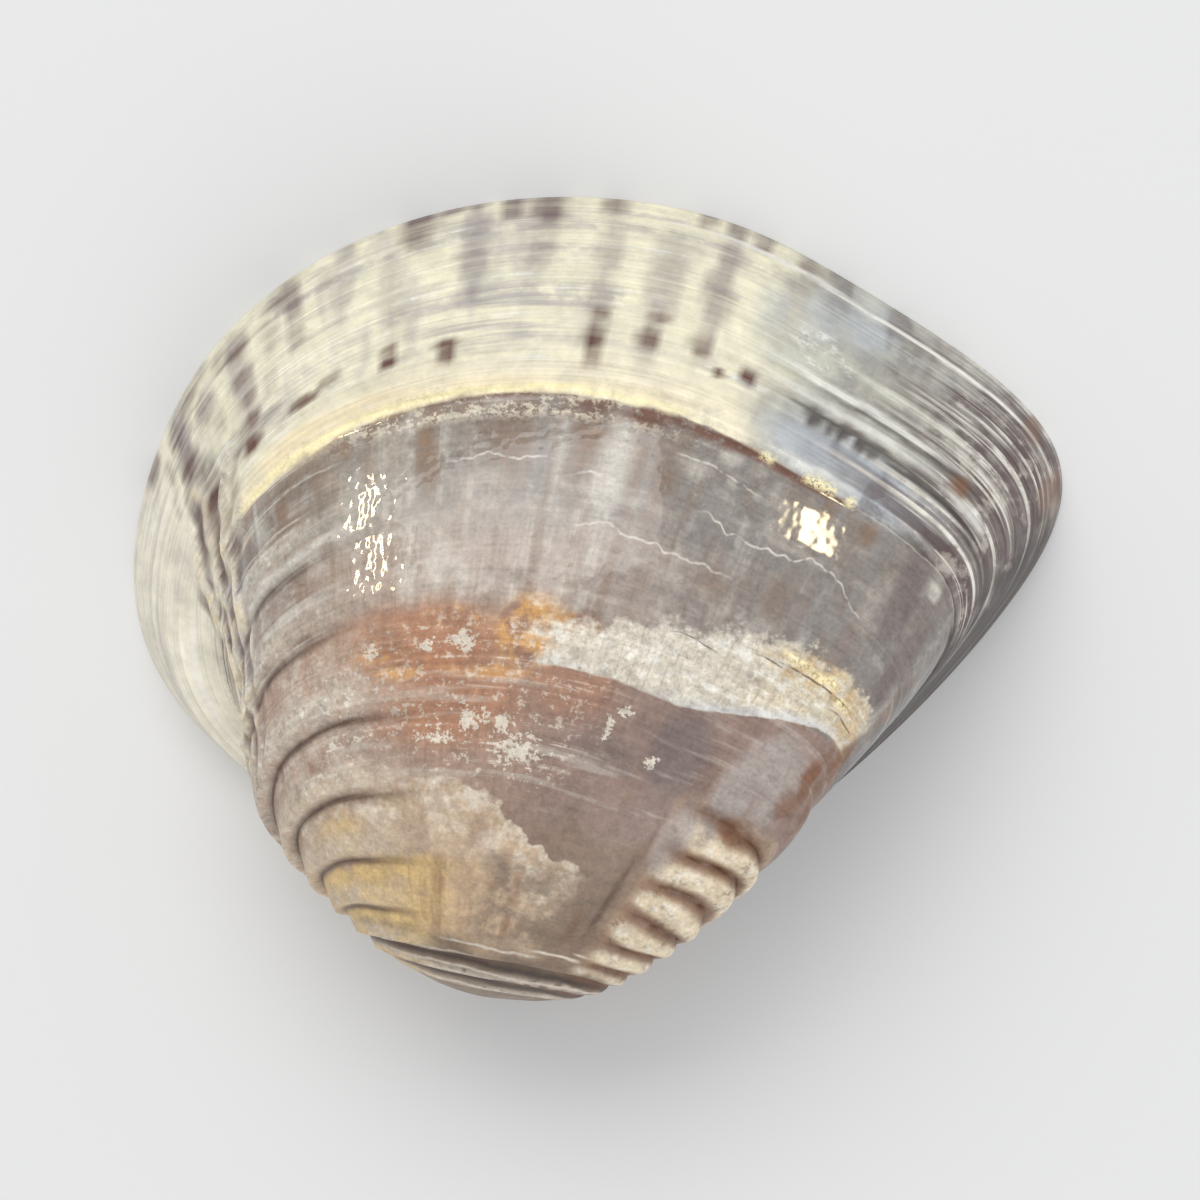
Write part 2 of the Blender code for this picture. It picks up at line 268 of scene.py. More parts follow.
def surfaceNormals(grid):
    across = np.roll(grid[:, :-1], -1, axis=1) - np.roll(grid[:, :-1], 1, axis=1)
    across = np.concatenate([across, across[:, :1]], axis=1)
    along = np.gradient(grid, axis=0)
    normals = np.cross(across, along)
    return normals / np.linalg.norm(normals, axis=2)[..., None].clip(1e-9)


def outerRows(rim):
    tip = np.geomspace(shape["firstStage"], shape["tipStage"], shape["tipRows"], endpoint=False)
    young = np.linspace(shape["tipStage"], shape["middleStage"], shape["youngRows"], endpoint=False)
    stages = np.concatenate([tip, young, np.linspace(shape["middleStage"], 1, shape["outerRows"])])
    bearings = bearingOf(rim)
    bearings[0], bearings[-1] = bearings[1] + 1, bearings[-2] - 1
    reach, fromFront, fromHinge = shape["hindReach"]
    behind = smoothStep(*fromFront, bearings) * smoothStep(*fromHinge, bearings)
    reached = stages[:, None] * (1 + reach * (1 - stages[:, None]) ** 2 * behind)
    grid = grown(rim, reached, shape["beak"])
    normals = surfaceNormals(grid)
    height, groove, roll = ridgeShapes(bearings, stages)
    offAxis = np.linalg.norm(np.cross(grid - np.array(shape["beak"]), turnAxis()), axis=2)
    clear = smoothStep(*shape["axisClear"], offAxis)
    height = height * clear
    groove, roll = groove * clear, roll * clear
    pleats, valleys, crests = pleatShapes(bearings, stages)
    height = height + pleats
    groove = np.maximum(groove * (1 - crests), valleys)
    roll = np.maximum(roll, crests)
    at, width, depth, *span = shape["furrow"]
    height = height - depth * np.exp(-((bearings - at) / width) ** 2) * hump(span, stages)[:, None]
    height = height - pinchDepth(bearings, stages)
    height[-1] = 0
    lift, reach, liftStages = shape["backLift"]
    nearBeak = smoothStep(reach[1], reach[0], np.linalg.norm(rim - np.array(shape["beak"]), axis=1))
    lifted = lift * nearBeak * (stages * hump(liftStages, stages))[:, None]
    grid = grid + normals * height[..., None] + np.array(shape["liftDirection"]) * lifted[..., None]
    return grid, bearings, stages, reached, np.stack([groove, roll], axis=2)


def pinchDepth(bearings, stages):
    depth, places, span = shape["pinch"]
    return depth * hump(places, bearings) * hump(span, stages)[:, None]


def pleatShapes(bearings, stages):
    # small knotty pleats along the fold at the front: height, valleys and crests
    height, spacing, places, span = shape["pleats"]
    slant, still = shape["pleatSlant"]
    base, size, byStage, byBearing = shape["pleatKnots"]
    stages = stages[:, None]
    along = bearings[None, :] + slant * (stages - still)
    turn = 2 * np.pi * along / spacing
    for sway, often, start in shape["pleatWaves"]:
        turn = turn + sway * np.sin(stages * often + start)
    knots = base + size * np.sin(stages * byStage + bearings[None, :] * byBearing)
    wave = np.sin(turn) * knots * (hump(places, along) * hump(span, stages))
    valleys, crests = [(rise * wave - off).clip(0, 1) for rise, off in shape["pleatFolds"]]
    return height * wave, shape["pleatStainAndShade"] * valleys, crests


def hollowRows(inner, bearings):
    stages = np.linspace(1, shape["hollowEnd"], shape["hollowRows"] + 1)[1:]
    grid = grown(inner, stages[:, None] * np.ones(len(inner)), shape["hollowPole"])
    normals = surfaceNormals(grid)
    grid = grid + normals * pinchDepth(bearings, stages)[..., None]
    return grid, stages


def wrapValve():
    # a flat grid is added, and its rows are wrapped from the beak over the outside, across the
    # rim and up the hollow's wall
    rim, inner = rimLoops()
    outside, bearings, stages, reached, folds = outerRows(rim)
    share = np.linspace(0, 1, shape["rimRows"] + 1)[1:, None, None]
    flatRim = rim + (inner - rim) * share
    inside, hollowStages = hollowRows(inner, bearings)
    beakRow = np.ones((1, len(rim), 1)) * np.array(shape["beak"])
    poleRow = np.ones((1, len(rim), 1)) * np.array(shape["hollowPole"])
    grid = np.concatenate([beakRow, outside, flatRim, inside, poleRow])
    grid[:, -1] = grid[:, 0]
    grid[..., 2] *= shape["flattening"]
    # the stage runs on from 1 to 1.1 across the rim and to 2.1 up the hollow
    along = [[0.01], stages, 1 + 0.1 * share.ravel(), 2.1 - hollowStages, [2.1]]
    along = np.concatenate(along)[:, None] * np.ones(len(rim))
    along[1:len(stages) + 1] = reached
    relief = np.zeros((*grid.shape[:2], 2))
    relief[1:len(stages) + 1] = folds

    bpy.ops.mesh.primitive_grid_add(x_subdivisions=shape["rays"], y_subdivisions=len(grid) - 1, size=2)
    valve = bpy.context.object
    valve.name = valve.data.name = "clamValve"
    mesh = valve.data
    low, high = [np.array(corner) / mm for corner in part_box("valve")]
    points = grid.reshape(-1, 3)
    points = (points - points.min(0)) / (points.max(0) - points.min(0)) * (high - low) + low
    mesh.vertices.foreach_set("co", (points * mm).ravel())
    mesh.uv_layers[0].name = "growth"
    corner = np.empty(len(mesh.loops), int)
    mesh.loops.foreach_get("vertex_index", corner)
    growth = np.stack([bearings[corner % len(rim)] / 100, along.ravel()[corner]], 1)
    mesh.uv_layers["growth"].data.foreach_set("uv", growth.ravel())
    mesh.uv_layers.new(name="relief").data.foreach_set("uv", relief.reshape(-1, 2)[corner].ravel())
    bpy.ops.object.mode_set(mode="EDIT")
    bpy.ops.mesh.select_all(action="SELECT")
    bpy.ops.mesh.remove_doubles(threshold=shape["mergeDistance"] * mm)
    bpy.ops.mesh.normals_make_consistent(inside=False)
    bpy.ops.object.mode_set(mode="OBJECT")
    return valve


def cutSockets(valve):
    for start, end, startWidth, endWidth in shape["sockets"]:
        start = Vector((*start, -shape["socketDrop"])) * mm
        end = Vector((*end, -shape["socketDrop"])) * mm
        along = (end - start).to_track_quat("Z", "Y")
        bpy.ops.mesh.primitive_cone_add(
            vertices=4, radius1=startWidth * mm, radius2=endWidth * mm, depth=(end - start).length,
            location=(start + end) / 2, rotation=along.to_euler(),
        )
        cutter = bpy.context.object
        bpy.ops.object.select_all(action="DESELECT")
        valve.select_set(True)
        bpy.context.view_layer.objects.active = valve
        cut = valve.modifiers.new("socket", "BOOLEAN")
        cut.operation = "DIFFERENCE"
        cut.solver = "EXACT"
        cut.object = cutter
        bpy.ops.object.modifier_apply(modifier=cut.name)
        bpy.data.objects.remove(cutter)
    for spare in [layer for layer in valve.data.uv_layers if layer.name not in ("growth", "relief")]:
        valve.data.uv_layers.remove(spare)


valveMarks = {
    # each mark: bearing, stage in hundredths, half width in degrees, half length in hundredths,
    # and strength where it is less than 1
    "brownRays": [
        (93.4, 65, 1, 5), (93, 62.2, 0.7, 4, 0.8), (84.5, 64.5, 2.2, 7, 0.6), (78.2, 66, 2, 5.5),
        (73.4, 65, 1.1, 7, 0.5), (115, 63.4, 1.3, 3), (109.8, 64, 1.1, 3.4),
        (101.8, 67.2, 1.6, 1.8, 0.8), (118.6, 65, 1.2, 3, 0.9), (105, 65.5, 1.2, 3, 0.8),
        (119, 66, 1.8, 4, 0.5), (88.5, 60, 1.6, 5, 0.4), (71, 61, 1.6, 5, 0.4), (55, 67.2, 1.2, 2, 0.8),
        (50.5, 67.6, 0.9, 2, 0.8), (79.5, 60.5, 1.4, 4, 0.4), (62.5, 56, 2, 2, 0.5),
        (56, 57.5, 2, 3, 0.5),
    ],
    "paleRays": [
        (75.4, 63.2, 2.4, 7, 0.9), (80.4, 62.2, 0.9, 8, 0.6), (87, 60, 4, 3, 0.4),
        (97, 63, 2.5, 7, 0.5), (101, 60, 3.5, 6, 0.5), (113, 64, 1.6, 4, 0.5),
        (65, 67.2, 1.2, 1.4, 0.9), (42.3, 67.6, 0.9, 1.4), (46, 62, 2.5, 5, 0.35),
        (85, 57.8, 26, 1.4, 0.2), (91, 53.5, 2.2, 3, 0.6), (95, 53, 1.8, 3, 0.5),
    ],
    "frontShade": [
        (117, 63.4, 5, 2.2, 0.5), (118.4, 61.4, 2.2, 2.2), (113.5, 60.6, 3.5, 1, 0.8),
        (106, 60.3, 5, 0.8, 0.5),
    ],
    "violet": [
        (58, 42.5, 6, 5, 0.9), (66, 40.5, 7, 2, 0.5), (44.5, 65, 2.2, 9, 0.8), (40.5, 60, 1.6, 10, 0.7),
    ],
    "rust": [(95, 47, 18, 5), (90, 43, 15, 6, 0.8), (74, 45, 8, 4, 0.5)],
    "orange": [
        (80, 48.4, 5.5, 3.6), (75.5, 49.2, 4.5, 1.4, 0.9), (89, 49.2, 5, 1.2, 0.6),
        (99, 46.8, 3, 1, 0.8), (96, 45, 4.5, 0.7, 0.8), (84, 44.9, 8, 0.7, 0.6),
    ],
    "speckled": [(108, 42, 10, 8, 0.8), (88, 43, 26, 14, 0.6), (80, 39, 12, 5), (86, 40.5, 10, 4)],
    "flakes": [
        (87.5, 47.3, 2.6, 1.3), (92, 47, 1.6, 1, 0.9), (99.5, 47, 1.2, 1, 0.9), (85.5, 41, 2.6, 1.2),
        (81.5, 40.9, 1.2, 1.2), (79, 39, 4.6, 1.2), (90, 39.5, 6, 0.8, 0.7), (105, 40, 7, 0.8, 0.6),
        (72, 47, 1.2, 0.6, 0.9), (68, 42.5, 0.6, 2), (66.5, 44, 1.4, 0.6), (61, 40.9, 0.8, 1),
    ],
    "crust": [(46, 53.4, 8.5, 2), (51, 52.8, 5, 1, 0.8), (41, 51.5, 3.5, 2, 0.7)],
    "ochre": [(108, 31, 6, 3, 0.7), (112, 32, 4, 2, 0.5)],
    "slope": [(49, 41.5, 3.4, 6), (46, 45, 5, 4), (52.5, 36, 3, 5, 0.9), (44, 43, 4, 4, 0.8)],
    "stains": [
        (45.5, 38.4, 4, 2), (41, 46.5, 1.4, 4), (42, 43, 2.2, 2, 0.9), (38.5, 45, 1.6, 4, 0.7),
        (37.5, 58, 2, 5, 0.8), (38.8, 50, 1.6, 3.5, 0.9), (60.5, 25.5, 1.2, 3, 0.5),
    ],
    "crease": [(56.4, 29, 1.1, 6, 0.9), (55.4, 35, 0.9, 4, 0.6), (53.2, 40.5, 0.9, 3, 0.5)],
    "foldPale": [
        (123.2, 69, 0.8, 2.2), (124.2, 64, 0.8, 2.4), (125.8, 59, 0.9, 2.4), (128.4, 55.2, 1, 2),
        (121.6, 74, 0.6, 2, 0.7), (131.5, 51.5, 1, 2, 0.8),
    ],
    "foldDark": [
        (122, 66.8, 0.6, 3), (123, 61.2, 0.6, 2.6), (125, 56.2, 0.8, 2.6, 0.9), (124.4, 71.2, 0.6, 3),
        (126.2, 64, 0.6, 3, 0.8), (128, 60, 0.7, 2.4, 0.7), (128.4, 52, 0.8, 2.4, 0.8),
        (132, 67.5, 3, 4.5, 0.7),
    ],
    "margin": [  # at the free margin
        (124, 98.5, 2, 5, 0.8), (117, 98.5, 3.2, 4, 0.5), (111.5, 94, 2, 4, 0.7),
        (106, 96, 1.5, 10, 0.7), (100.5, 98.5, 1.3, 3, 0.4), (94.8, 99, 2.3, 9), (92, 100, 1.2, 3, 0.8),
        (90.3, 100, 1.2, 3, 0.6), (87.3, 98.5, 1.6, 5.5, 0.95), (84.6, 98.5, 1.7, 7),
        (79.6, 99.5, 1.5, 4.5), (72.6, 99, 1.2, 4, 0.9), (70.4, 99, 1.3, 4), (68.2, 98.5, 1.3, 4.5),
        (64.5, 98, 1.3, 4, 0.8), (61.5, 98.5, 1.3, 3, 0.8),
    ],
    "longRays": [  # long and faint
        (119.8, 86, 2, 16, 0.9), (111.8, 87, 1.7, 14, 0.6), (106, 92, 1.4, 10, 0.6),
        (97.2, 84, 1.5, 13, 0.35), (90.3, 90, 1.7, 13, 0.65), (85, 92, 2, 11, 0.6),
        (79.6, 86, 1.4, 16, 0.6), (74.8, 84, 1.8, 15, 0.6), (70.4, 88, 1.5, 16, 0.85),
        (64.5, 90, 1.8, 10, 0.45), (101.5, 90, 1.2, 10, 0.3),
    ],
    "dots": [  # along the dotted growth line
        (118.5, 76, 3.2, 1.8), (112, 75.7, 2, 1.8), (111.6, 79, 1.4, 1.8, 0.8),
        (111.6, 82.5, 1.4, 1.8, 0.8), (111.8, 87, 1.4, 2.2, 0.7), (112, 93, 1.6, 2, 0.6),
        (106, 75.8, 2.4, 1.2, 0.9), (103, 76.8, 2, 1, 0.7), (97.3, 77.2, 1, 1.1),
        (97.2, 75.5, 1.1, 1.1), (92.2, 75.8, 1.6, 1), (91.9, 74.4, 1, 2.2, 0.9), (79.6, 75.7, 1.3, 2.6),
        (79.5, 73.3, 1, 2.2, 0.7), (79.4, 78.5, 0.9, 1.4, 0.7), (74.8, 76.8, 1.4, 2, 0.9),
        (74.3, 79.5, 1.2, 1.2, 0.7), (70.6, 77.5, 1.4, 2, 0.7), (66.1, 76, 1.1, 1.5),
        (68.4, 75.1, 1.1, 0.8), (121, 74, 2.6, 5, 0.6), (121.5, 69, 2.6, 1.8), (118, 71.5, 2.4, 3, 0.6),
        (127.5, 72, 1.2, 3.5, 0.7), (115, 72.5, 1.4, 1.6, 0.6), (120, 85, 1.2, 3, 0.9),
        (61.6, 72.2, 0.9, 4, 0.8), (64, 73.5, 0.8, 3, 0.5),
    ],
    "fringe": [  # where the front of the shell folds
        (107.5, 96, 1.6, 3, 0.7), (113.5, 95, 1.6, 4, 0.8), (118, 95.5, 1.4, 4, 0.8),
        (102.5, 94, 1.4, 3, 0.4), (113, 77, 2.2, 1.2, 0.6), (109.5, 77.5, 1.8, 1, 0.7),
        (117.5, 73.5, 2, 1.2, 0.7), (124.5, 95, 1.4, 4, 0.5), (120.3, 94, 1.2, 6), (119.6, 86, 1.5, 5),
        (121.2, 80, 1.2, 5, 0.8), (122, 74.5, 1.3, 3, 0.9), (118, 80, 1.6, 4, 0.8),
        (116.5, 90, 1.6, 5, 0.7), (122.4, 90, 0.9, 6, 0.6), (115, 84, 1.2, 4, 0.6),
        (123.4, 84, 0.8, 4, 0.5), (108.5, 90, 1.2, 6, 0.6), (109, 82, 1.2, 3, 0.6),
        (105.8, 86, 1, 3, 0.5),
    ],
    "goldBits": [
        (124.5, 65.5, 0.8, 2), (124.8, 57.5, 0.8, 2), (123, 62, 0.5, 2, 0.7), (119, 66.8, 3, 0.4, 0.8),
        (116, 65.5, 2, 0.4, 0.7), (121, 64.5, 1.6, 0.4, 0.7), (126, 52, 0.6, 2, 0.6),
    ],
    "lilacLines": [(88, 79, 9, 6, 0.9)],
    "blue": [(54, 72.2, 13, 4.5), (62, 91, 2.6, 9, 0.5), (58, 93, 3, 8, 0.7), (66, 86, 2, 6, 0.4)],
    "haze": [(57, 82.5, 9, 5), (63, 82.5, 3.5, 4), (51, 83.5, 5, 6, 0.7), (60, 80, 8, 2, 0.7)],
    "swirls": [(60.5, 83.5, 4.5, 5), (47, 82, 1.4, 2)],
    "hindLine": [
        (55, 76.4, 11, 0.6), (47, 75.7, 10, 0.7), (40, 74.4, 6, 0.8, 0.9), (51, 79.3, 14, 0.5, 0.8),
        (59.6, 75.7, 1, 2), (58.2, 75.7, 0.8, 1.6, 0.9), (56.8, 75.7, 0.9, 2), (54.9, 75.7, 0.9, 2),
        (53.6, 75.7, 0.7, 1.8, 0.9),
    ],
    "hindPale": [
        (44, 77.2, 3.5, 1, 0.8), (56, 80.3, 13, 0.7), (52, 95.2, 18, 0.7), (66, 95.8, 8, 0.7, 0.9),
        (56, 77.85, 12, 0.6, 0.7), (58, 70.2, 6, 0.7, 0.9),
    ],
    "hindStains": [
        (45.6, 78.7, 1.3, 1.8), (39, 95, 2, 7, 0.7), (43.5, 97.5, 1.2, 5, 0.6), (34.5, 97, 2.2, 5, 0.7),
    ],
    "rustAndShadowLine": [
        (66.5, 68.55, 9.5, 0.85), (73.5, 68.2, 3.4, 1.2), (59, 68.7, 9, 0.7), (78, 68.4, 3, 0.7, 0.7),
        (88, 69.05, 13, 0.5, 0.7),
    ],
    "honey": [
        (107, 70.6, 8, 3), (101, 70.6, 13, 2.2, 0.9), (90, 70.4, 12, 1.2, 0.7), (110, 70, 7, 1.2, 0.8),
        (76, 70.2, 8, 1.2, 0.5),
    ],
    "goldEdgeAndHighlight": [
        (98, 69.65, 18, 0.62), (84, 69.75, 14, 0.46), (110, 69.35, 9, 0.7, 0.9),
        (73, 69.45, 5, 0.45, 0.8),
    ],
    "goldChips": [
        (57, 69.2, 1.3, 0.8), (55.6, 69.3, 1, 0.8), (53.6, 69.1, 0.8, 0.7), (62, 69, 0.8, 0.7, 0.8),
    ],
    "scars": [(47, 140, 7, 10), (126, 142, 8, 9), (134, 162, 3, 4, 0.8)],
    "mantleLine": [
        *((bearing, 128.5, 5, 1.4) for bearing in range(68, 122, 4)),
        (62.5, 131, 2.2, 5), (64.5, 137, 2, 5), (62.5, 143, 3, 3), (57, 144, 4, 2),
    ],
    "chalkCrumbs": [(50, 50, 12, 5), (64, 49.5, 12, 3.6)],
    "crackEdge": [(47, 53.4, 3, 0.6), (50.3, 53.7, 2.2, 0.6), (43.5, 52.7, 1.2, 0.7)],
}

valveLines = {
    # thin marks along the growth lines, given the same way with half a thickness in hundredths
    "chalkCrack": [
        (46.5, 52.75, 6, 0.16), (42, 51.65, 2.6, 0.16), (52, 52.4, 3, 0.12),
        (61.5, 51.2, 3.4, 0.12, 0.9),
    ],
    "frontCrest": [(112, 58.8, 12, 0.7), (113, 62.5, 8, 0.25, 0.7), (110, 66.2, 8, 0.25, 0.7)],
    "umboBands": [(75, 18.6, 60, 0.9), (75, 15.7, 70, 0.9)],
    "umboCrests": [
        (76, 21.05, 14, 0.22, 0.9), (60, 21.6, 9, 0.22), (53, 22.2, 4, 0.22), (72, 19.8, 40, 0.22, 0.6),
        (72, 17.5, 50, 0.3, 0.8), (72, 16.6, 50, 0.35, 0.9), (70, 14.2, 60, 0.3, 0.7),
    ],
}


def softMarks(marks, bearings, stages, soft=0.6):
    # how strongly each corner is marked: fully in the middle of a mark, fading out to its edge
    total = np.zeros(len(bearings))
    for atBearing, atStage, halfWidth, halfLength, *strength in marks:
        away = np.hypot((bearings - atBearing) / halfWidth, (stages - atStage) / halfLength)
        total = np.maximum(total, smoothStep(1, 1 - soft, away) * (strength or [1])[0])
    return total


def addMarks(valve):
    # the marks wander a little, so that none is quite round
    mesh = valve.data
    corners = np.empty(len(mesh.loops) * 2)
    mesh.uv_layers["growth"].data.foreach_get("uv", corners)
    bearings, stages = corners[0::2] * 100, corners[1::2] * 100
    wander = np.sin(bearings * 0.9 + stages * 0.41) + np.sin(bearings * 2.3 - stages * 0.77 + 1)
    sway = np.sin(bearings * 0.7 - 2) + 0.7 * np.sin(bearings * 1.9 + stages * 0.23)
    for name, marks in valveMarks.items():
        strength = softMarks(marks, bearings + 0.16 * wander, stages + 0.11 * sway)
        mesh.attributes.new(name, "FLOAT", "CORNER").data.foreach_set("value", strength)


bpy.ops.object.select_all(action="DESELECT")
valve = wrapValve()
print("valve wrapped:", len(valve.data.vertices), "points")
cutSockets(valve)
addMarks(valve)
print("hinge cut:", len(valve.data.polygons), "faces")
bpy.ops.object.shade_smooth_by_angle(angle=math.radians(shape["smoothAngle"]))


finish = {
    "middleRoughness": 0.48,
    "outerRoughness": 0.36,
    "youngRoughness": 0.42,
    "chalkRoughness": 0.9,
    "insideRoughness": 0.28,
    "gloss": 0.9,  # clear coat on the middle band
    "glossRoughness": 0.05,
    "lineDepth": 0.02,  # mm
    "rayDepth": 0.006,
    "grainDepth": 0.01,
    "chalkDepth": 0.05,
    "glintDepth": 0.022,  # waves that break up what the gloss reflects
    "hindGlintShare": 0.16,
    # stage, first and last bearing, how far it wanders, seed
    "cracks": [
        (0.63, 80, 92, 0.06, 3), (0.617, 74, 80, 0.05, 9), (0.612, 46, 67, 0.08, 15),
        (0.573, 60, 79, 0.05, 21), (0.655, 60, 71, 0.03, 27),
    ],
}

colours = {  # as they look on screen, 0 to 255
    "greyBand": (145, 135, 125), "brownRay": (132, 104, 80), "paleRay": (210, 202, 188),
    "mauve": (186, 165, 150), "coolBand": (134, 127, 121), "paleRoll": (214, 202, 184),
    "cream": (240, 233, 203), "halo": (240, 229, 200), "white": (248, 245, 234),
    "lilac": (176, 167, 166), "purpleBrown": (96, 72, 74), "redBrown": (96, 56, 46),
    "rimCream": (242, 233, 212), "coolGrey": (178, 177, 168), "blueGrey": (186, 191, 195),
    "paleHaze": (205, 204, 188), "darkLine": (58, 46, 40), "hindBrown": (86, 66, 64),
    "hindGrey": (124, 110, 106), "stripDark": (64, 56, 54), "gold": (253, 238, 184),
    "honey": (240, 217, 168), "chip": (220, 208, 184), "rustAndShadowLine": (106, 60, 36),
    "youngMauve": (170, 142, 124), "violetBrown": (146, 122, 110), "violet": (118, 103, 98),
    "rust": (176, 124, 92), "orange": (222, 164, 90), "chalk": (226, 216, 197),
    "blueChalk": (206, 206, 206), "creamChalk": (226, 212, 182), "crust": (206, 172, 120),
    "beige": (200, 174, 144), "ochre": (222, 188, 124), "umboBrown": (138, 114, 95),
    "umboGrey": (128, 109, 90), "knobLit": (228, 210, 180), "slopeMauve": (172, 160, 152),
    "knobShade": (176, 148, 122), "groove": (76, 46, 30), "shadeGrey": (106, 108, 110),
    "crest": (216, 210, 198), "knobGroove": (104, 68, 44), "stain": (126, 84, 54),
    "porcelain": (236, 230, 220), "insidePurple": (128, 96, 104), "scar": (214, 204, 190),
}

material = bpy.data.materials.new("shell")
material.use_nodes = True
tree = material.node_tree


def addNode(kind, inputs=None, **settings):
    made = tree.nodes.new("ShaderNode" + kind)
    for name, value in settings.items():
        setattr(made, name, value)
    for key, value in (inputs or {}).items():
        if isinstance(value, bpy.types.NodeSocket):
            tree.links.new(value, made.inputs[key])
        else:
            made.inputs[key].default_value = value
    return made.outputs


def calc(operation, a, b=0, c=0):
    return addNode("Math", {0: a, 1: b, 2: c}, operation=operation)[0]


def fade(value, low, high, floor=0, top=1):
    # floor up to low, top from high, smooth between
    if low > high:
        low, high, floor, top = high, low, top, floor
    inputs = {"Value": value, "From Min": low, "From Max": high, "To Min": floor, "To Max": top}
    return addNode("MapRange", inputs, interpolation_type="SMOOTHSTEP", clamp=False)[0]


def marked(name):
    return addNode("Attribute", attribute_name=name)["Fac"]


def joined(operation, masks):
    # a mask is a value, the name of a mark, or a pattern and the levels it fades between
    total = None
    for mask in masks:
        if isinstance(mask, str):
            mask = marked(mask)
        if isinstance(mask, tuple):
            mask = fade(*mask)
        total = mask if total is None else calc(operation, total, mask)
    return total


def times(*masks):
    return joined("MULTIPLY", masks)


def either(*masks):
    return joined("MAXIMUM", masks)


def linear(name):
    channels = [value / 255 for value in colours[name]]
    channels = [c / 12.92 if c <= 0.04045 else ((c + 0.055) / 1.055) ** 2.4 for c in channels]
    return (*channels, 1)


def layers(under, coats):
    # each coat: colour, strength, and the masks that limit it
    for name, strength, *masks in coats:
        share = times(*masks) if strength == 1 else times(*masks, strength)
        inputs = {0: share, 6: under, 7: linear(name)}
        under = addNode("Mix", inputs, data_type="RGBA")[2]
    return under


def mapped(name):
    uv = addNode("UVMap", uv_map=name)[0]
    return addNode("SeparateXYZ", {0: uv})[:2]


growthBearing, plainStage = mapped("growth")
plainBearing = calc("MULTIPLY", growthBearing, 100)
grooveMask, rollMask = mapped("relief")
objectPlace = {0: addNode("TexCoord")["Object"], "Scale": 1 / mm}
place = addNode("VectorMath", objectPlace, operation="SCALE")[0]


def noiseOf(vector, scale, detail, roughness):
    inputs = {"Vector": vector, "Scale": scale, "Detail": detail, "Roughness": roughness}
    return addNode("TexNoise", inputs)


def cloudy(scale, detail):
    # three patterns that have nothing to do with each other
    colour = noiseOf(place, scale, detail, 0.6)["Color"]
    return addNode("SeparateColor", {0: colour})


def streaky(bearingScale, stageScale, detail, seed):
    # stretched along the growth lines, or across them
    across = calc("MULTIPLY", plainBearing, bearingScale)
    along = calc("MULTIPLY", plainStage, stageScale)
    vector = addNode("CombineXYZ", {0: across, 1: along, 2: seed})[0]
    return noiseOf(vector, 1, detail, 0.55)["Fac"]


def distance(one, other):
    return calc("ABSOLUTE", calc("SUBTRACT", one, other))


def centred(pattern):
    return calc("SUBTRACT", pattern, 0.5)


def mixed(base, pattern, share):
    # a share of the pattern on top of the base
    return calc("MULTIPLY_ADD", pattern, share, base)


# patterns that several colours share
drift = cloudy(0.5, 2)
clouds = cloudy(0.8, 4)
flecks = cloudy(2.2, 3)
grain = cloudy(6, 2)
hairLines = streaky(0.035, 210, 2, 71)
lines = streaky(0.05, 80, 3, 5)
broadLines = streaky(0.04, 34, 3, 31)
hairRays = streaky(2.4, 9, 2, 23)
rays = streaky(0.62, 2.4, 3, 53)
softRays = streaky(0.33, 5, 1.5, 91)

# places that drift a little, so that no edge of a colour is straight
bearing = calc("ADD", plainBearing, fade(drift[0], 0.2, 0.8, -1.6, 1.6))
stage = calc("ADD", plainStage, fade(drift[1], 0.2, 0.8, -0.01, 0.01))
lineStage = calc("ADD", plainStage, fade(drift[2], 0.2, 0.8, -0.0025, 0.0025))
band = fade(lineStage, 0.69, 0.693)  # the outer band


def lined(name):
    found = []
    for atBearing, atStage, halfWidth, halfThickness, *strength in valveLines[name]:
        off = distance(lineStage, atStage / 100)
        reach = distance(bearing, atBearing)
        ends = (reach, halfWidth, halfWidth * 0.5, 0, *strength)
        found.append(times((off, halfThickness / 100, 0), ends))
    return either(*found)


def plateau(value, riseFrom, riseTo, fallFrom, fallTo):
    return times((value, riseFrom, riseTo), (value, fallTo, fallFrom))


def area(first, last, low, high, softSides, softEnds):
    # between two bearings and two stages
    return times(
        (bearing, first - softSides, first + softSides), (bearing, last + softSides, last - softSides),
        (stage, low - softEnds, low + softEnds), (stage, high + softEnds, high - softEnds),
    )


def paintMiddle():
    atFront = fade(bearing, 100, 112)
    return layers(linear("greyBand"), [
        ("coolBand", 0.8, (bearing, 78, 62)),
        ("mauve", 0.55, (stage, 0.6, 0.56), (bearing, 52, 66)),
        ("mauve", 0.6, area(80, 112, 0.4, 0.56, 5, 0.02)),
        ("brownRay", 0.45, (softRays, 0.54, 0.34)),
        ("brownRay", 0.5, (rays, 0.5, 0.34), (clouds[2], 0.36, 0.56)),
        ("paleRay", 0.5, (rays, 0.5, 0.68), (clouds[1], 0.4, 0.58)),
        ("paleRay", 0.4, (broadLines, 0.5, 0.66), (clouds[0], 0.42, 0.6)),
        ("brownRay", 0.5, (clouds[0], 0.44, 0.26)),
        ("coolBand", 0.4, (bearing, 76, 62)),
        ("brownRay", 0.75, atFront, (broadLines, 0.54, 0.4)),
        ("brownRay", 0.5, atFront, (flecks[1], 0.48, 0.34)),
        ("paleRay", 0.75, atFront, (lines, 0.5, 0.62)),
        ("brownRay", 1, "brownRays", (flecks[0], 0.34, 0.58, 0.5, 1)),
        ("paleRay", 0.75, "paleRays"),
        # painted shade on the front, and a pale line along the front crest, partly painted highlight
        ("shadeGrey", 0.8, "frontShade"),
        ("crest", 0.9, lined("frontCrest"), (flecks[1], 0.32, 0.5, 0.4, 1)),
    ])


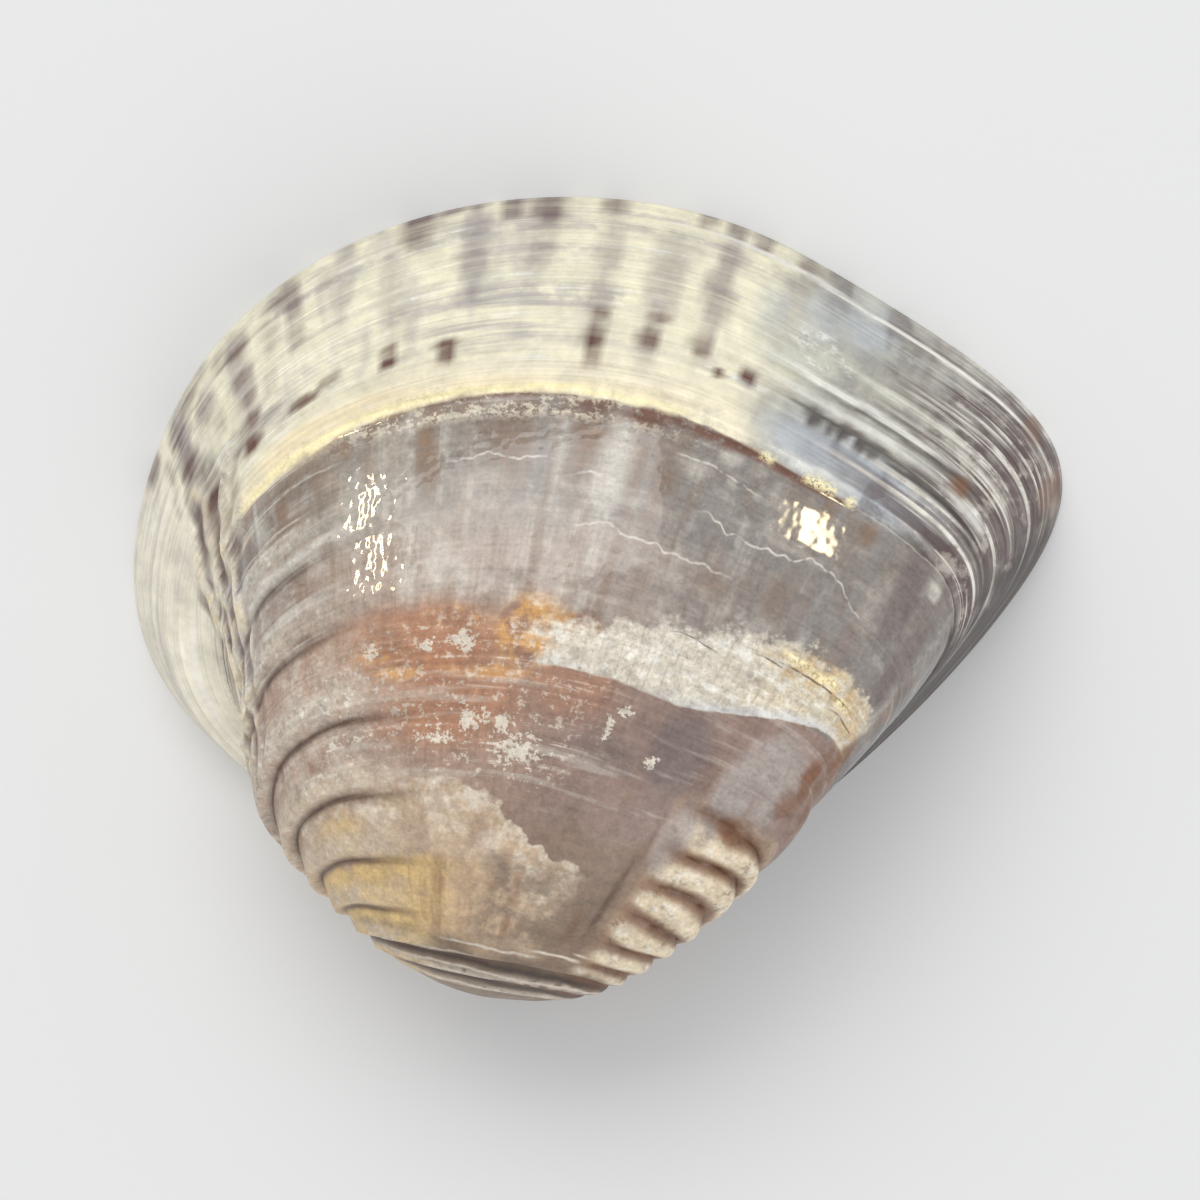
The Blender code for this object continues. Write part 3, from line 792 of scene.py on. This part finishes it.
def paintCracks(under):
    # fine pale cracks that wander along the growth lines
    found = []
    for level, first, last, reach, seed in finish["cracks"]:
        off = distance(mixed(level, centred(streaky(0.14, 0, 3, seed)), reach), plainStage)
        ends = plateau(plainBearing, first, first + 3, last - 3, last)
        found.append(times((off, 0.0018, 0.0003), ends))
    return layers(under, [("paleRay", 0.85, either(*found), (flecks[0], 0.25, 0.55))])


def paintYoung(under):
    young = fade(stage, 0.505, 0.493)
    return layers(under, [
        ("youngMauve", 1, young),
        ("violetBrown", 1, young, (bearing, 86, 70)),
        ("violet", 1, "violet"),
        ("rust", 1, "rust"),
        ("paleRoll", 0.6, young, (bearing, 92, 112), (clouds[1], 0.66, 0.44)),
        ("brownRay", 0.3, young, (rays, 0.47, 0.34)),
        ("rust", 0.35, young, (bearing, 96, 108), (clouds[2], 0.5, 0.62)),
        ("paleRay", 0.36, young, (lines, 0.54, 0.68)),
        ("rust", 0.8, "orange", (clouds[0], 0.52, 0.4)),
        ("orange", 0.9, "orange", (clouds[0], 0.38, 0.52)),
        ("chalk", 0.7, "orange", (flecks[0], 0.5, 0.66)),
    ])


def paintFlakes(under):
    # what is left of the chalky layer on the young shell: scratches, specks and small flakes
    dense = times("speckled", (stage, 0.5, 0.485), (stage, 0.35, 0.37))
    scratches = times((hairLines, 0.56, 0.68), (flecks[2], 0.44, 0.56))
    speck = fade(mixed(flecks[1], grain[1], 0.6), 0.88, 0.96)
    torn = calc("ADD", centred(flecks[2]), centred(grain[0]))
    torn = mixed(marked("flakes"), torn, 3.2)
    return layers(under, [
        ("youngMauve", 0.6, (stage, 0.5, 0.485), (bearing, 88, 104), (flecks[1], 0.46, 0.6)),
        ("chalk", 0.7, dense, scratches),
        ("chalk", 0.8, dense, speck),
        ("chalk", 0.85, (torn, 0.5, 0.95), (marked("flakes"), 0, 0.4)),
    ])


def chalkMask():
    # where the chalk is, and how far above its lower edge
    lower = fade(plainBearing, 62, 40, 0.458, 0.5)
    upper = fade(plainBearing, 50, 76, 0.55, 0.5)
    edge = calc("MULTIPLY", centred(clouds[2]), 0.05)
    above = calc("SUBTRACT", plainStage, mixed(lower, edge, 0.15))
    below = calc("SUBTRACT", calc("ADD", upper, edge), plainStage)
    hindEnd = fade(mixed(plainBearing, edge, 60), 38.5, 40.5)
    frontEnd = fade(mixed(plainBearing, edge, 220), 81, 76)
    torn = mixed(below, centred(flecks[0]), 0.035)
    return times((above, 0, 0.003), (torn, -0.003, 0.014), hindEnd, frontEnd), above


def paintChalk(under, mask, above):
    return layers(under, [
        ("chalk", 0.95, mask),
        ("creamChalk", 0.8, mask, (bearing, 60, 46)),
        ("greyBand", 0.5, mask, (mixed(clouds[0], broadLines, 0.6), 0.8, 0.98)),
        ("umboBrown", 0.28, mask, (grain[0], 0.5, 0.7)),
        ("umboBrown", 0.25, mask, (hairRays, 0.54, 0.66)),
        ("white", 0.6, mask, (mixed(flecks[1], lines, 0.8), 0.9, 1.1)),
        ("blueChalk", 0.75, mask, (above, 0.014, 0.002), (bearing, 66, 56)),
        ("crust", 0.8, "crust", (flecks[2], 0.32, 0.6)),
        ("gold", 1, "crackEdge", (grain[2], 0.36, 0.54)),
        ("groove", 0.85, lined("chalkCrack"), (flecks[0], 0.34, 0.5)),
    ])


def paintUmbo(under):
    ragged = calc("MULTIPLY", centred(clouds[1]), 0.03)
    top = calc("ADD", fade(bearing, 64, 90, 0.305, 0.366), ragged)
    below = calc("SUBTRACT", top, plainStage)
    arch = times((below, 0, 0.004), (bearing, 60, 72))
    mottled = fade(mixed(clouds[0], flecks[1], 0.6), 0.7, 0.92)
    tint = fade(clouds[2], 0.34, 0.52, 0.4, 1)
    low = area(64, 100, 0.215, 0.29, 5, 0.012)
    tip = fade(stage, 0.22, 0.198)
    return layers(under, [
        ("umboBrown", 1, (stage, 0.352, 0.33), (bearing, 80, 66)),
        ("beige", 1, arch),
        ("chalk", 0.65, arch, (below, 0.075, 0.02), mottled),
        ("chalk", 0.6, arch, (below, 0.01, 0.002), (flecks[0], 0.36, 0.54)),
        ("youngMauve", 0.5, arch, (clouds[2], 0.56, 0.42)),
        ("ochre", 0.9, (stage, 0.292, 0.28), (bearing, 76, 98), (stage, 0.19, 0.21), tint),
        ("ochre", 1, "ochre"),
        ("stain", 0.45, low, (softRays, 0.56, 0.36), (flecks[0], 0.36, 0.6)),
        ("stain", 0.35, low, (rays, 0.5, 0.34), (clouds[0], 0.4, 0.58)),
        ("beige", 0.6, low, (rays, 0.52, 0.66), (clouds[1], 0.4, 0.56)),
        ("umboGrey", 0.7, area(54, 80, 0.215, 0.3, 4, 0.015), (clouds[1], 0.4, 0.58)),
        ("umboGrey", 1, tip),
        ("umboBrown", 0.6, tip, (lines, 0.5, 0.36)),
        # pale rolls at the tip, dark lines in the grooves and pale lines on the crests of the umbo
        # ridges, and a dark crease: partly their own colour, partly painted shade and highlight
        ("paleRoll", 0.8, (stage, 0.186, 0.178), rollMask, (flecks[1], 0.32, 0.5)),
        ("darkLine", 0.9, lined("umboBands")),
        ("groove", 0.6, "crease", (flecks[2], 0.3, 0.56, 0.4, 1)),
        ("paleRoll", 1, lined("umboCrests")),
    ])


def paintKnobs(under):
    knobs = times((bearing, 56, 51), (bearing, 6, 14), (stage, 0.195, 0.21), (stage, 0.405, 0.385))
    # painted shade over the whole knobs, then their crests in a lighter cream with white flecks as
    # painted highlight
    litCrests = times(knobs, (rollMask, 0.1, 0.75), (clouds[1], 0.32, 0.52, 0.65, 1))
    return layers(under, [
        ("knobShade", 1, knobs),
        ("knobLit", 1, litCrests),
        ("stain", 0.45, knobs, (flecks[0], 0.5, 0.34), (clouds[0], 0.54, 0.4)),
        ("white", 0.5, litCrests, (flecks[1], 0.52, 0.66)),
        ("slopeMauve", 0.9, "slope"),
        ("stain", 0.85, "stains", (clouds[2], 0.3, 0.5, 0.4, 1)),
    ])


def paintOuter(under):
    upper = times(band, (stage, 0.73, 0.77))
    broad = times((softRays, 0.46, 0.66), (bearing, 74, 92, 0.3, 1))
    uneven = fade(broadLines, 0.4, 0.6, 0.7, 1)
    patchy = times((lines, 0.36, 0.6, 0.5, 1), uneven)
    lobe = times((bearing, 122, 127), band)
    return layers(under, [
        ("cream", 1, band),
        ("lilac", 0.5, upper, broad),
        ("lilac", 0.5, upper, (broadLines, 0.46, 0.64), (clouds[1], 0.36, 0.56)),
        ("lilac", 0.75, band, "lilacLines", (lines, 0.46, 0.6)),
        ("white", 0.8, band, (lines, 0.44, 0.3), (clouds[2], 0.4, 0.6)),
        ("white", 0.8, band, (hairLines, 0.6, 0.7), (bearing, 94, 106), (clouds[0], 0.4, 0.54)),
        ("halo", 0.8, band, (stage, 0.75, 0.725)),
        ("lilac", 0.55, band, "longRays"),
        ("purpleBrown", 0.55, band, "longRays", patchy),
        ("rimCream", 0.9, band, (bearing, 120.5, 123.5), (stage, 0.66, 0.74)),
        ("lilac", 0.45, lobe, (broadLines, 0.5, 0.7)),
        ("lilac", 0.2, lobe, (lines, 0.54, 0.68)),
        ("white", 0.6, lobe, (broadLines, 0.46, 0.32)),
        ("purpleBrown", 0.9, band, "fringe", patchy),
        ("purpleBrown", 0.9, band, "margin", uneven),
        ("redBrown", 1, band, "dots", uneven),
        ("purpleBrown", 0.8, "foldDark"),
        ("rimCream", 0.8, "foldPale"),
    ])


def paintHind(under):
    wisps = times(band, (bearing, 64, 46))
    atEnd = times(band, (bearing, 54, 44))
    edge = times(band, (bearing, 70, 62), (stage, 0.9, 0.965))
    return layers(under, [
        ("coolGrey", 0.92, band, (bearing, 67, 60)),
        ("blueGrey", 1, "blue"),
        ("paleHaze", 1, "haze", (clouds[0], 0.32, 0.56)),
        ("white", 0.7, "swirls", (clouds[2], 0.46, 0.62), (flecks[0], 0.4, 0.58)),
        ("hindGrey", 0.85, band, (bearing, 54, 40)),
        ("hindBrown", 0.8, wisps, (broadLines, 0.56, 0.42)),
        ("hindBrown", 0.6, wisps, (softRays, 0.5, 0.38), (clouds[1], 0.4, 0.56)),
        ("paleRay", 0.85, wisps, (lines, 0.51, 0.62)),
        ("paleRay", 0.8, wisps, (hairLines, 0.58, 0.68), (clouds[0], 0.36, 0.56)),
        ("white", 0.6, atEnd, (lines, 0.54, 0.62), (clouds[2], 0.38, 0.52)),
        ("darkLine", 0.6, atEnd, (lines, 0.44, 0.34)),
        ("purpleBrown", 0.6, atEnd, (clouds[1], 0.52, 0.64)),
        ("paleRay", 0.45, atEnd, (clouds[0], 0.54, 0.66)),
        ("hindBrown", 0.5, edge, (softRays, 0.54, 0.42)),
        ("paleHaze", 0.5, edge, (softRays, 0.52, 0.66)),
        ("darkLine", 0.85, "hindLine"),
        ("white", 0.8, "hindPale"),
        ("stain", 0.8, "hindStains"),
    ])


def paintHindEdge(under):
    # the steep strip behind the hind slope
    strip = times((bearing, 39.5, 35.5), (stage, 0.47, 0.56), (plainStage, 1.02, 1))
    return layers(under, [
        ("stripDark", 0.9, strip),
        ("paleRay", 0.6, strip, (lines, 0.54, 0.68)),
    ])


def paintHalt(under):
    # where growth stopped: a golden edge, partly a painted highlight along the crest of the step, its
    # chipped foot, and the rust along it, partly a stain and partly painted shadow under the step
    foot = times((lineStage, 0.662, 0.676), (lineStage, 0.693, 0.69), plateau(bearing, 64, 76, 96, 106))
    chips = fade(mixed(mixed(flecks[2], grain[2], 0.6), lines, 0.5), 1.02, 1.16)
    blurred = times(plateau(stage, 0.655, 0.68, 0.7, 0.715), (bearing, 104, 112), (lines, 0.46, 0.58))
    return layers(under, [
        ("brownRay", 0.7, foot, (clouds[2], 0.46, 0.62)),
        ("chip", 0.8, foot, chips),
        ("rustAndShadowLine", 0.95, "rustAndShadowLine", (flecks[1], 0.3, 0.48, 0.3, 1)),
        ("rimCream", 0.7, blurred),
        ("honey", 0.6, "honey", (clouds[1], 0.26, 0.54)),
        ("gold", 1, "goldEdgeAndHighlight", (lines, 0.34, 0.54, 0.55, 1)),
        ("honey", 0.8, "goldBits"),
        ("gold", 1, "goldChips", (grain[1], 0.36, 0.52)),
    ])


def paintRelief(under):
    # the rolls are painted pale, partly wear and partly painted highlight, and the grooves dark, partly
    # a brown stain and partly painted shade
    rolls = times(rollMask, (bearing, 84, 104), (clouds[0], 0.28, 0.46, 0.5, 1))
    pleated = times((bearing, 116, 120), (stage, 0.44, 0.54))
    grooveStainAndShade = times(grooveMask, (pleated, 0, 1, 1, 0.3))
    return layers(under, [
        ("paleRoll", 0.8, rolls),
        ("brownRay", 0.45, rolls, (flecks[2], 0.48, 0.36)),
        ("white", 0.5, rolls, (flecks[1], 0.56, 0.68)),
        ("beige", 0.6, rollMask, (bearing, 84, 104), (stage, 0.4, 0.35)),
        ("ochre", 0.6, rolls, (stage, 0.31, 0.27), (clouds[2], 0.4, 0.56)),
        ("rimCream", 0.75, rolls, pleated),
        ("honey", 0.75, rolls, pleated, (clouds[1], 0.46, 0.58)),
        ("purpleBrown", 0.9, grooveMask, pleated),
        ("groove", 0.92, grooveStainAndShade, (bearing, 56, 64)),
        ("knobGroove", 0.85, grooveStainAndShade, (bearing, 64, 56)),
    ])


def paintInside(under, inside):
    return layers(under, [
        ("porcelain", 1, inside),
        (
            "insidePurple", 0.7, (plainStage, 1.06, 1.12), (bearing, 70, 40), (bearing, 0, 20),
            (plainStage, 1.75, 1.3),
        ),
        ("insidePurple", 0.35, (plainStage, 1.55, 1.9), (drift[2], 0.4, 0.65)),
        ("scar", 0.8, either("scars", "mantleLine")),
        ("white", 0.35, inside, (broadLines, 0.5, 0.68)),
    ])


def addTexture(under, inside):
    # fine growth lines, rays and grain, a little darker and lighter than the colour they lie on
    outer = fade(stage, 0.68, 0.72)
    inBand = plateau(stage, 0.44, 0.54, 0.68, 0.72)
    raysShare = times((clouds[1], 0.34, 0.62), inBand, (bearing, 76, 92, 0.25, 0.5))
    linesShare = times((clouds[2], 0.34, 0.62, 0.25, 0.8), (stage, 0.3, 0.5, 0.35, 1))
    fine = calc("MULTIPLY", centred(hairRays), raysShare)
    fine = mixed(fine, centred(hairLines), linesShare)
    fine = mixed(fine, centred(grain[2]), fade(outer, 0, 1, 0.6, 0.15))
    fine = mixed(fine, centred(flecks[0]), fade(outer, 0, 1, 0.8, 0.2))
    fine = mixed(fine, centred(clouds[0]), 0.7)
    brightness = mixed(1, times(fine, (inside, 0, 1, 1, 0.1)), 0.9)
    return addNode("HueSaturation", {"Value": brightness, "Color": under})[0]


def roughnessOf(chalky, inside):
    rough = either(
        (stage, 0.48, 0.53, finish["youngRoughness"], finish["middleRoughness"]),
        (stage, 0.688, 0.7, 0, finish["outerRoughness"]),
        times(chalky, finish["chalkRoughness"]),
    )
    inputs = {0: inside, 2: rough, 3: finish["insideRoughness"]}
    return addNode("Mix", inputs, data_type="FLOAT")[0]


def bumpOf(height):
    return addNode("Bump", {"Height": height, "Distance": mm, "Strength": 1})[0]


def fineRelief():
    lineShare = either((plainStage, 0.66, 0.72), (plainStage, 0.34, 0.5, 0.15, 0.5))
    height = times(hairLines, lineShare, finish["lineDepth"])
    height = mixed(height, hairRays, fade(plainStage, 0.44, 0.54, 0, finish["rayDepth"]))
    height = mixed(height, grain[0], finish["grainDepth"])
    crumbs = times(mixed(0.2, flecks[1], 0.8), "chalkCrumbs", finish["chalkDepth"])
    return bumpOf(calc("ADD", height, crumbs))


def glossRelief():
    depth = finish["glintDepth"]
    waves = mixed(streaky(1.2, 112, 0, 17), streaky(0.4, 40, 0, 87), 0.7)
    return bumpOf(times(waves, (plainBearing, 66, 80, finish["hindGlintShare"] * depth, depth)))


def finishShell():
    chalky, above = chalkMask()
    inside = either((plainStage, 1.004, 1.02), (plainStage, 0.006, 0.004))
    colour = paintMiddle()
    for paintPart in (paintCracks, paintYoung, paintFlakes, paintUmbo):
        colour = paintPart(colour)
    colour = paintChalk(colour, chalky, above)
    for paintPart in (paintKnobs, paintOuter, paintHind, paintHalt, paintHindEdge, paintRelief):
        colour = paintPart(colour)
    colour = addTexture(paintInside(colour, inside), inside)
    shader = tree.nodes["Principled BSDF"].inputs
    gloss = times((stage, 0.5, 0.54), (lineStage, 0.69, 0.686), finish["gloss"])
    for name, value in (
        ("Base Color", colour), ("Roughness", roughnessOf(chalky, inside)), ("Normal", fineRelief()),
        ("Coat Weight", gloss), ("Coat Normal", glossRelief()),
    ):
        tree.links.new(value, shader[name])
    shader["Coat Roughness"].default_value = finish["glossRoughness"]


finishShell()
valve.data.materials.clear()
valve.data.materials.append(material)
print("shell painted:", len(tree.nodes), "nodes")

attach(valve, "root")
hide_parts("valve")


studio = {
    "lookAt": (0.08, -0.24, 0),  # mm
    "distance": 220,
    "tilt": 0.045,  # radians off straight down
    "lens": 139.2,
    "sensor": 36,
    "nearestSeen": 0.005,  # m
    "floorSize": 2,  # m
    "floorDrop": 0.00002,
    "floorColour": (0.8, 0.79, 0.77, 1),
    "floorRoughness": 0.9,
    "skyColour": (0.92, 0.95, 1, 1),
    "skyStrength": 0.6,
    # place and size in m, then watts
    "windows": {
        "topWindow": ((-0.12, 0.55, 0.65), (0.9, 0.5), 3.6),
        "lowWindow": ((0.3, -0.6, 0.5), (0.6, 0.4), 2),
    },
    "windowColour": (1, 1, 1),
    "windowTarget": (0, 0, 0.006),
    # small windows that only the gloss shows: where on the shell in mm, the way to the window,
    # the way its long side runs, size in m and watts
    "glints": {
        "leftWindow": (
            (-10.8, 2.6, 12), (-0.676, 0.525, 0.515), (-0.19, -0.79, 0.57), (0.025, 0.2), 0.66,
        ),
        "rightWindow": (
            (9.7, 2.5, 11.6), (0.597, 0.602, 0.528), (0.03, 0.62, -0.78), (0.013, 0.075), 0.13,
        ),
    },
    "glintColour": (1, 0.85, 0.52),
    "glintDistance": 0.5,
}


def addFloor():
    bpy.ops.object.select_all(action="DESELECT")
    bpy.ops.mesh.primitive_plane_add(size=studio["floorSize"], location=(0, 0, -studio["floorDrop"]))
    floor = bpy.context.object
    floor.name = "table"
    material = bpy.data.materials.new("paleTable")
    material.use_nodes = True
    surface = material.node_tree.nodes["Principled BSDF"]
    surface.inputs["Base Color"].default_value = studio["floorColour"]
    surface.inputs["Roughness"].default_value = studio["floorRoughness"]
    floor.data.materials.append(material)


def addWindow(name, location, size, watts, colour, target, along):
    # the second size runs along the last direction
    back = (Vector(location) - Vector(target)).normalized()
    side = Vector(along).cross(back).normalized()
    turned = Matrix((side, back.cross(side), back)).transposed()
    bpy.ops.object.light_add(type="AREA", location=location, rotation=turned.to_euler())
    light = bpy.context.object
    light.name = name
    light.data.shape = "RECTANGLE"
    light.data.size, light.data.size_y = size
    light.data.energy = watts
    light.data.color = colour
    return light


def addWindows():
    for name, (location, size, watts) in studio["windows"].items():
        look = studio["windowColour"], studio["windowTarget"], (0, 0, 1)
        addWindow(name, location, size, watts, *look)
    for name, (seenAt, direction, along, size, watts) in studio["glints"].items():
        seenAt = Vector(seenAt) * mm
        location = seenAt + Vector(direction).normalized() * studio["glintDistance"]
        light = addWindow(name, location, size, watts, studio["glintColour"], seenAt, along)
        light.visible_diffuse = False


def addCamera():
    target = Vector(studio["lookAt"]) * mm
    away = Vector((0, -math.sin(studio["tilt"]), math.cos(studio["tilt"]))) * studio["distance"] * mm
    turned = (-away).to_track_quat("-Z", "Y").to_euler()
    bpy.ops.object.camera_add(location=target + away, rotation=turned)
    camera = bpy.context.object
    camera.data.lens = studio["lens"]
    camera.data.sensor_width = studio["sensor"]
    camera.data.clip_start = studio["nearestSeen"]
    bpy.context.scene.camera = camera


addFloor()
addWindows()
addCamera()
print("studio set up:", len(studio["windows"]) + len(studio["glints"]), "windows")
world = bpy.data.worlds.new("room")
bpy.context.scene.world = world
world.use_nodes = True
sky = world.node_tree.nodes["Background"].inputs
sky[0].default_value, sky[1].default_value = studio["skyColour"], studio["skyStrength"]
bpy.context.scene.view_settings.view_transform = "Standard"
